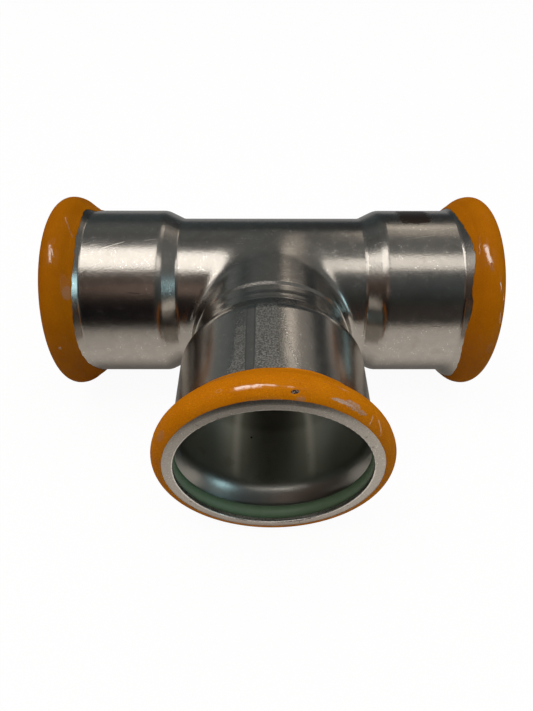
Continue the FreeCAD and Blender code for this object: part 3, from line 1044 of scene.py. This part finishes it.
def ring_to_object(name, ring, leg):
    """A closed tube of quads from an array of (turns, section, xyz)."""
    turns, section = ring.shape[:2]
    i, j = np.meshgrid(np.arange(turns), np.arange(section), indexing="ij")
    i2, j2 = (i + 1) % turns, (j + 1) % section
    quads = np.stack([i * section + j, i * section + j2, i2 * section + j2, i2 * section + j], -1)
    if leg is LEFT:
        quads = quads[..., ::-1]
    mesh = bpy.data.meshes.new(name)
    mesh.from_pydata(ring.reshape(-1, 3).tolist(), [], quads.reshape(-1, 4).tolist())
    mesh.shade_smooth()
    made = bpy.data.objects.new(name, mesh)
    bpy.context.collection.objects.link(made)
    return made


print("film's thickness in mm:", FILM_THICKNESS)

# %% [markdown]
# ## Where the film shines, and where it is pale
#
# Most of the film is worn to a satin. Only along the taut ridges is it still glossy, so the lamps
# show there as short bright streaks. Rubbing has left it pale in a few places, most of all on the
# branch, where a scuffed patch is nearly bare of colour. A coat layer over a dull base gives both:
# these tables say where the coat lies and where the colour fades.

# %% Places on the film
FILM_STREAKS = {
    # first place (t, angle), last place, width, how much it shines
    "left": (
        ((4.2, 25.0), (4.9, 37.0), 0.6, 0.7), ((4.7, 27.0), (5.8, 33.0), 0.3, 0.6),
        ((6.6, 4.5), (9.9, 17.5), 0.35, 0.9), ((5.1, 82.5), (5.3, 85.0), 0.5, 0.6)),
    "right": (
        ((6.8, 24.0), (5.2, 41.0), 0.9, 1.1), ((3.0, 46.0), (1.2, 56.0), 0.35, 0.8),
        ((7.8, 18.0), (8.4, 30.0), 0.35, 0.5), ((2.4, 60.0), (1.6, 69.0), 0.3, 0.5)),
    "branch": (
        ((2.75, -17.0), (2.85, -4.5), 0.8, 1.0), ((2.9, -6.0), (2.5, 2.5), 0.35, 0.6),
        ((2.6, 3.0), (2.3, 8.5), 0.3, 0.4), ((8.6, -29.5), (8.0, -17.0), 0.5, 1.0),
        ((5.6, 20.0), (4.8, 33.0), 0.4, 0.6), ((0.5, -14.0), (0.45, 3.0), 0.4, 0.6),
        ((2.3, 46.5), (0.1, 47.5), 0.3, 0.7), ((2.2, 50.5), (0.3, 58.0), 0.3, 0.6)),
}
FILM_PALE = {
    # middle (t, angle), reach in each, strength
    "left": (((9.3, 52.0), (1.3, 4.0), 0.45), ((5.1, 84.0), (0.5, 1.0), 0.5)),
    "right": (((3.0, 84.0), (1.2, 4.0), 0.15),),
    "branch": (((0.45, 11.0), (0.45, 2.0), 0.45), ((1.4, -62.0), (0.8, 4.0), 0.3)),
}
SCUFF_SPOTS = (
    # middle (t, angle), reach in each
    ((1.60, 28.6), (0.40, 4.2)), ((1.85, 33.4), (0.75, 3.0)),
    ((1.75, 36.4), (0.80, 2.6)), ((1.35, 40.2), (0.42, 3.0)))


def branch_film_marks(place, t, angle):
    """The chip, the scuffed patch and the bubble's rim on the branch's film."""
    chip = spot(t, angle - (t - CHIP[0]) * 1.2, CHIP, (0.40, 1.7), 0.25)
    ragged = place.noise(0.8, detail=3.0, roughness=0.7, seed=0.23) - 0.5
    moved, turned = t + ragged * 0.9, angle + ragged * 3.0
    scuffed = total(spot(moved, turned, at, reach, 0.3) for at, reach in SCUFF_SPOTS)
    scuffed = scuffed.math("MINIMUM", 1.0) * (ragged + 0.5).smooth(0.28, 0.45, 0.3, 1.0)
    rim = spot(t, angle, BUBBLE, (0.50, 1.7), 0.25) - spot(t, angle, BUBBLE, (0.28, 1.0), 0.25)
    return chip, scuffed, rim


print("streaks on the film:", {name: len(lines) for name, lines in FILM_STREAKS.items()})

# %% [markdown]
# ## Orange film
#
# The film is a deep orange plastic. It mirrors very little, which keeps its colour strong. Fine
# grains in the colour, lighter and darker, are partly a painted sparkle close up. Its underside,
# where it lies on the floor, is painted a duller, paler brown in patches: a painted reflection of
# the floor and painted shade. The three films share one orange, and each is painted lighter or
# darker for its leg as painted light and shade.

# %% Film finish
FILM_DARK, FILM_LIGHT = (0.44, 0.130, 0.0026), (0.53, 0.173, 0.0036)
# by leg: the film's painted light and shade, its grain (partly painted sparkle), and painted reflection and
# shade on its lower sides
FILM_PAINTED_LIGHT = {"left": 0.93, "right": 1.10, "branch": 1.43}
SPARKLE_GRAIN_STRENGTH = {"left": 0.25, "right": 0.25, "branch": 0.5}
UNDERSIDE_SHEEN_AND_SHADE = {"left": 0.15, "right": 0.15, "branch": 0.4}
COAT_EVERYWHERE = 0.02
FILM_RELIEF_DEPTH = 0.02


def film_material(leg):
    material, shader, place = new_material(
        "orange_film_" + leg.name, coat_roughness=0.08, coat_ior=2.6, roughness=0.55, specular_ior_level=0.0)
    t, _, angle = leg.patterns(place)
    cloud = place.noise(6.0, detail=2.0)
    fine = place.noise(0.38, detail=2.0, roughness=0.7)
    patch = place.noise(2.4, detail=3.0, seed=0.4)
    torn = place.noise(1.1, detail=3.0, roughness=0.7, seed=0.61)
    streaks = total(stroke(t, angle, start, end, width) * much
                    for start, end, width, much in FILM_STREAKS[leg.name])
    pale = total(spot(t + (fine - 0.5) * 1.5, angle, at, reach) * much
                 for at, reach, much in FILM_PALE[leg.name])
    # painted reflection of the floor and painted shade on the lower sides, in patches
    underside_sheen_and_shade = abs(angle).smooth(50.0, 125.0) * patch.smooth(0.40, 0.66) * UNDERSIDE_SHEEN_AND_SHADE[leg.name]
    shine = streaks * torn.smooth(0.36, 0.50, 0.25, 1.15) + COAT_EVERYWHERE
    shine = shine + abs(angle).smooth(115.0, 135.0) * patch.smooth(0.56, 0.66) * 0.06

    # one orange for all films, lighter or darker by leg: painted light and shade
    share, sparkle_grains = FILM_PAINTED_LIGHT[leg.name], SPARKLE_GRAIN_STRENGTH[leg.name]
    layers = [
        # how much of the film the layer covers, and its colour
        # light and dark grains in the colour, the light ones partly painted sparkle
        (fine.smooth(0.54, 0.72) * sparkle_grains, (share * 0.74, share * 0.28, 0.010)),
        (fine.smooth(0.28, 0.46, 1.0, 0.0) * sparkle_grains * 0.8, (share * 0.25, share * 0.06, 0.001)),
        (pale * (patch + 0.5), (0.40, 0.25, 0.17)),
    ]
    if leg is BRANCH:
        chip, scuffed, rim = branch_film_marks(place, t, angle)
        layers += [
            (scuffed * 0.8, fine.smooth(0.4, 0.6).mix((0.48, 0.25, 0.13), (0.60, 0.42, 0.32))),
            (rim * 0.3, (0.72, 0.36, 0.14)),
            (chip, fine.smooth(0.45, 0.6).mix((0.03, 0.02, 0.015), (0.30, 0.24, 0.20))),
        ]
        shine = shine + scuffed * 0.12 + rim * 0.15
    # painted reflection of the floor and painted shade on the lower sides
    layers.append((underside_sheen_and_shade, (0.33, 0.165, 0.08)))
    tone = cloud.mix(*(tuple(share * part for part in colour) for colour in (FILM_DARK, FILM_LIGHT)))
    relief = bump(place, fine * 0.8 + patch, FILM_RELIEF_DEPTH)
    finish_with(shader, place, Base_Color=layered(tone, layers),
                Coat_Weight=shine.math("MINIMUM", 1.0), Normal=relief)
    return material


print("tones of the film:", FILM_PAINTED_LIGHT)

# %% [markdown]
# ## The films in place
#
# Each film was wrapped on by itself, so its edges wander in their own way. The front edge is said
# as a distance along the bead from the mouth's face, the back edge as t, both at a few angles
# round the leg, and small waves make them a little uneven. Each film replaces the plain ring of
# the packed model.

# %% Films
EDGE_FRONT = {
    # angle, distance from the mouth's face along the bead
    "left": ((0, 1.5), (90, 1.1), (180, 0.6), (270, 1.2)),
    "right": ((0, 1.4), (90, 1.0), (180, 0.7), (270, 1.1)),
    "branch": ((-130, 0.45), (-90, 0.80), (-60, 1.00), (-25, 1.55), (-12, 1.62), (0, 1.70), (12, 1.55),
               (25, 1.52), (60, 1.10), (90, 0.75), (130, 0.45), (180, 0.25)),
}
EDGE_BACK = {
    # angle, t
    "left": ((-60, 12.0), (-29, 13.9), (-16, 9.8), (6, 10.8), (18, 10.5), (32, 10.9), (47, 10.3),
             (57, 10.4), (72, 9.85), (91, 10.0), (110, 10.9), (124, 12.2), (180, 11.0), (240, 10.6)),
    "right": ((-60, 10.6), (-8, 11.4), (10, 10.5), (23, 9.5), (30, 9.3), (43, 10.05), (52, 10.5), (61, 9.7),
              (72, 10.7), (82, 10.75), (96, 10.1), (108, 9.6), (124, 8.8), (180, 10.5), (240, 10.9)),
    "branch": ((-60, 11.8), (-27, 12.0), (-14, 12.2), (0, 12.35), (12, 12.7), (24, 12.6), (60, 11.6),
               (120, 11.0), (180, 11.6), (240, 11.0)),
}
FRONT_WAVES, BACK_WAVES = (0.05, (6, 13, 21, 34, 55)), (0.10, (9, 16, 27, 41, 63))
for leg in LEGS:
    made = film_mesh(
        leg,
        lambda degrees: around(EDGE_FRONT[leg.name], degrees) + wander(degrees, *FRONT_WAVES),
        lambda degrees: around(EDGE_BACK[leg.name], degrees) + wander(degrees, *BACK_WAVES),
    )
    made.data.materials.append(film_material(leg))
    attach(made, "root")
    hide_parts("film_ring_" + leg.name)
    print(made.name, "faces:", len(made.data.polygons))

# %% [markdown]
# ## The seal rings in place
#
# Each ring is a round cord that has been pushed to the front of the bead's hollow, so it fills the
# view just behind the mouth's edge. A fine moulding line runs round its inner side. A torus would
# do for the plain form. Here the cord's radius is a formula, so the line is part of the mesh.

# %% Seal rings
CORD_RADIUS, CORD_CENTRE = 2.18, (4.25, 29.30)
MOULD_LINE, MOULD_ANGLE, UNEVEN = 0.03, 215.0, 0.008


def seal_ring(leg, turns=300, around_cord=56):
    """A round cord closed to a ring."""
    degrees = np.repeat(np.arange(turns)[:, None] * 360.0 / turns, around_cord, 1)
    cord = np.radians(np.arange(around_cord) * 360.0 / around_cord)[None, :]
    cord = np.repeat(cord, turns, 0)
    line = np.exp(-((np.cos(cord - np.radians(MOULD_ANGLE)) - 1) / 0.01) ** 2)
    radius = CORD_RADIUS + MOULD_LINE * line + UNEVEN * np.sin(3 * np.radians(degrees) + 1.0)
    ring = leg.place(CORD_CENTRE[0] + radius * np.cos(cord), CORD_CENTRE[1] + radius * np.sin(cord), degrees)
    return ring_to_object("seal_" + leg.name, ring, leg)


for leg in LEGS:
    made = seal_ring(leg)
    made.data.materials.append(rubber)
    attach(made, "root")
    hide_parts("seal_ring_" + leg.name)
    print(made.name, "faces:", len(made.data.polygons))

# %% [markdown]
# ## Burrs on the mouth's edge
#
# Trimming the mouths has left a fine ragged burr along part of the inner edge, lowest on the
# branch, where it glitters. It is a thin ribbon of steel with an uneven crest, open to nothing: it
# closes on itself at both sides, and its ends run out to nothing. Bump alone wouldn't do here,
# because a burr breaks the outline of the lip.

# %% Burrs
BURRS = {
    # first and last angle, height of the crest in mm
    "branch": ((150.0, 178.0, 0.22), (196.0, 204.0, 0.16), (-31.5, -27.0, 0.20)),
    "left": ((100.0, 122.0, 0.16), (230.0, 250.0, 0.14)),
    "right": ((60.0, 78.0, 0.14), (205.0, 232.0, 0.16)),
}


def burr(leg, first, last, crest, number):
    """A ragged ridge that lies on the lip, from one angle to another."""
    count = 120
    degrees = np.linspace(first, last, count)
    ends = soft_step(np.linspace(0, 1, count), 0.0, 0.12) * soft_step(np.linspace(1, 0, count), 0.0, 0.12)
    ragged = np.convolve(rng.uniform(-1, 1, count + 4), np.ones(5) / 2.2, "valid")
    ragged = np.clip(0.55 + 0.45 * ragged, 0.05, 1.0)
    high = crest * ends * ragged
    inner_edge = 27.36 - 0.10 * ends * rng.uniform(0.3, 1.0, count)
    width = 0.12 + 0.22 * ends * ragged
    section = [
        (0.22 * np.ones(count), inner_edge + width * 0.5),
        (0.10 - high * 0.25, inner_edge),
        (0.05 - high * 0.55, inner_edge + width * 0.4),
        (0.06 - high * 0.20, inner_edge + width),
    ]
    rows = [leg.place(np.maximum(t, FOREMOST), r, degrees) for t, r in section]
    points = np.stack(rows, 1)
    quads = [(i * 4 + j, i * 4 + (j + 1) % 4, (i + 1) * 4 + (j + 1) % 4, (i + 1) * 4 + j)
             for i in range(count - 1) for j in range(4)]
    caps = [(3, 2, 1, 0), tuple((count - 1) * 4 + j for j in range(4))]
    mesh = bpy.data.meshes.new("burr")
    mesh.from_pydata(points.reshape(-1, 3).tolist(), [], quads + caps)
    made = bpy.data.objects.new("burr_%s_%d" % (leg.name, number), mesh)
    bpy.context.collection.objects.link(made)
    return made


def burr_material():
    material, shader, place = new_material("cut_steel", metallic=1.0, roughness=0.22)
    tone = place.noise(0.5).mix((0.40, 0.385, 0.36), (0.62, 0.60, 0.57))
    finish_with(shader, place, Base_Color=tone)
    return material


cut_steel = burr_material()
for leg in LEGS:
    for number, (first, last, crest) in enumerate(BURRS[leg.name], 1):
        made = burr(leg, first, last, crest, number)
        made.data.materials.append(cut_steel)
        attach(made, "root")
print("burrs:", sum(len(lines) for lines in BURRS.values()))

# %% [markdown] ## Finish Last, the scene is brought up to date. The box of everything should lie
# within the box of the packed solids, give or take a tenth of a millimetre, because the detailed
# pieces only follow them.

# %% Finish
bpy.context.view_layer.update()
